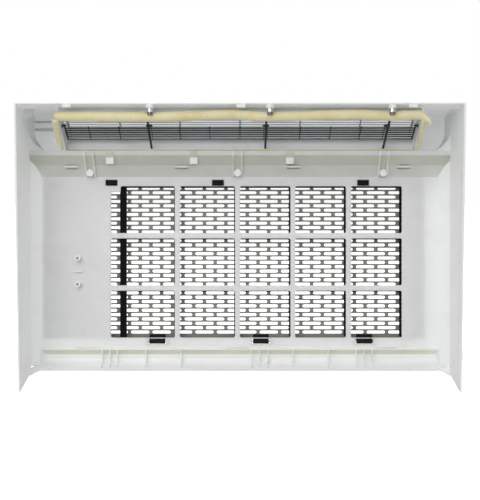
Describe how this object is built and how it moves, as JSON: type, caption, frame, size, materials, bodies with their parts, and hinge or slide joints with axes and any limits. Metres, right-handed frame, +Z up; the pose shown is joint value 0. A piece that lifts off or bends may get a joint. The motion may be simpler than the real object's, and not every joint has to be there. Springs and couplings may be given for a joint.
{
  "type": "window air conditioner front cover",
  "caption": "Front cover of a window air conditioner with a slotted intake door that tilts open, a sloped outlet duct with foam seal and a swinging black louver.",
  "frame": {"origin": "centre of the bounding box", "axes": "+X to the left seen from behind, -Y out of the front, +Y towards the chassis, +Z up"},
  "size_m": [0.662, 0.1282, 0.428],
  "materials": {
    "case_white": "fine satin moulded styrene",
    "duct_white": "satin moulded",
    "louver_black": "satin moulded",
    "grille_grey": "matt moulded",
    "clip_black": "matt moulded",
    "foam_cream": "open-cell foam",
    "seal_black": "closed-cell foam",
    "steel": "turned",
    "screw_black": "black oxide"
  },
  "bodies": {
    "case": {"outlet_grille": "duct_white", "front_case": "case_white", "outlet_duct": "duct_white", "foam_seal_top": "foam_cream", "foam_seal_left": "foam_cream", "foam_seal_right": "foam_cream", "foam_seal_bottom": "foam_cream", "louver_post_1": "louver_black", "louver_post_2": "louver_black", "louver_post_3": "louver_black", "louver_bush_left": "louver_black", "louver_bush_right": "louver_black", "duct_spacer_1": "steel", "duct_screw_1": "screw_black", "duct_spacer_2": "steel", "duct_screw_2": "screw_black", "duct_spacer_3": "steel", "duct_screw_3": "screw_black", "upper_trim_strip": "case_white", "side_panel": "case_white", "grille_hinge_pin_1": "steel", "grille_hinge_pin_2": "steel", "grille_hinge_pin_3": "steel"},
    "louver_body": {"louver": "louver_black"},
    "door_body": {"intake_grille": "grille_grey", "grille_hinge_hook_1": "clip_black", "grille_hinge_hook_2": "clip_black", "grille_hinge_hook_3": "clip_black", "grille_latch_1": "clip_black", "grille_latch_2": "clip_black", "grille_latch_3": "clip_black", "grille_seal_strip": "seal_black"}
  },
  "joints": [
    {"name": "door_hinge", "type": "hinge", "parent": "case", "child": "door_body", "pos_m": [0, -0.02093, -0.15204], "axis": [1, 0, 0], "range_deg": [0, 55]},
    {"name": "louver_swing", "type": "hinge", "parent": "case", "child": "louver_body", "pos_m": [0, 0.01579, 0.18344], "axis": [1, 0, 0], "range_deg": [-14, 6]}
  ]
}
